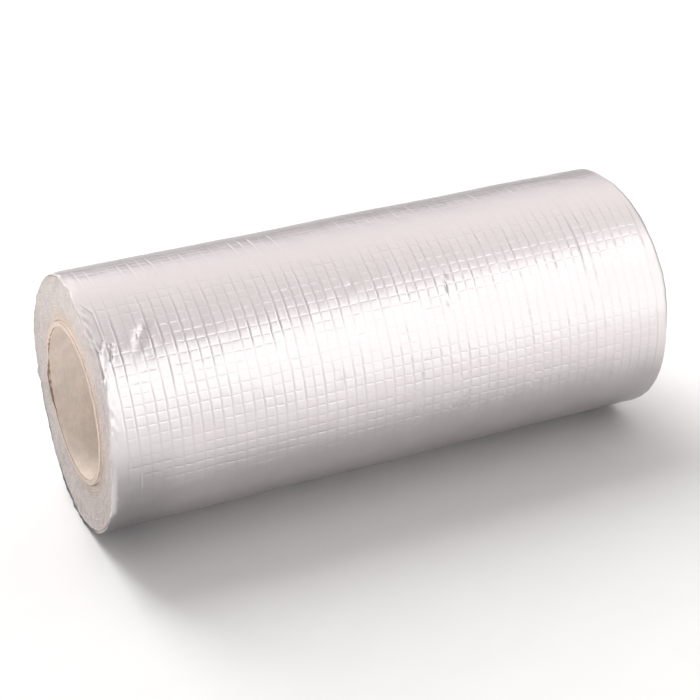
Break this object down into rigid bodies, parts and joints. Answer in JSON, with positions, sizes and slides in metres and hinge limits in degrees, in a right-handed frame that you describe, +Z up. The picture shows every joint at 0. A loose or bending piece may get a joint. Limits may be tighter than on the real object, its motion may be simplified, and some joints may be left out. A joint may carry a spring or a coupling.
{
  "type": "roll of butyl flashing tape",
  "caption": "Wide roll of foil-faced self-adhesive butyl flashing tape wound on a paperboard core, lying on its side.",
  "frame": {"origin": "on the floor, under the middle of the roll", "axes": "+X along the roll's axis, away from the end that faces the viewer; +Z up; the roll's side faces -Y"},
  "size_m": [0.3, 0.129, 0.129],
  "materials": {
    "foil_faced_tape": "satin",
    "paperboard": "matte"
  },
  "bodies": {
    "root": {"cardboard_core": "paperboard", "tape_winding": "foil_faced_tape"}
  },
  "joints": []
}
